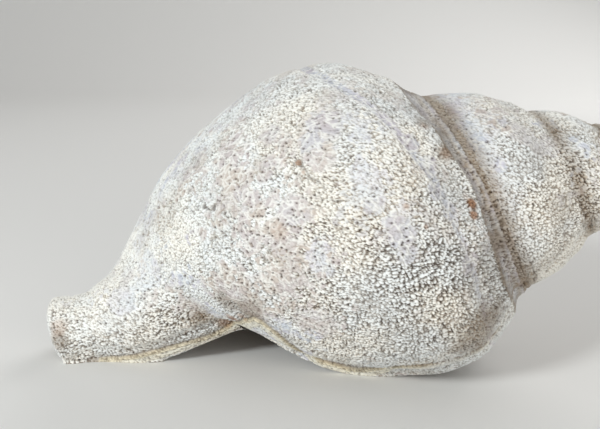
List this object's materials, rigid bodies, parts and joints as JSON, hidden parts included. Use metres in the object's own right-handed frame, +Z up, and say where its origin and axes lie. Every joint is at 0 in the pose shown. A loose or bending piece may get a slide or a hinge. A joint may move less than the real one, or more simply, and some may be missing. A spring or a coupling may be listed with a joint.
{
  "type": "horse conch shell",
  "caption": "Large spindle-shaped sea snail shell with an open aperture and siphonal canal, overgrown with a rough pale crust, lying on its aperture.",
  "frame": {"origin": "middle of the shell's box in plan, on the plane that it rests on", "axes": "+Z up, +X towards the spire, which rises, -X towards the siphonal canal, +Y towards the outer lip"},
  "size_m": [0.1874, 0.1044, 0.0896],
  "materials": {
    "crusted_shell": "matte, granular pale lime crust over shell"
  },
  "bodies": {
    "root": {"conch_shell": "crusted_shell"}
  },
  "joints": []
}
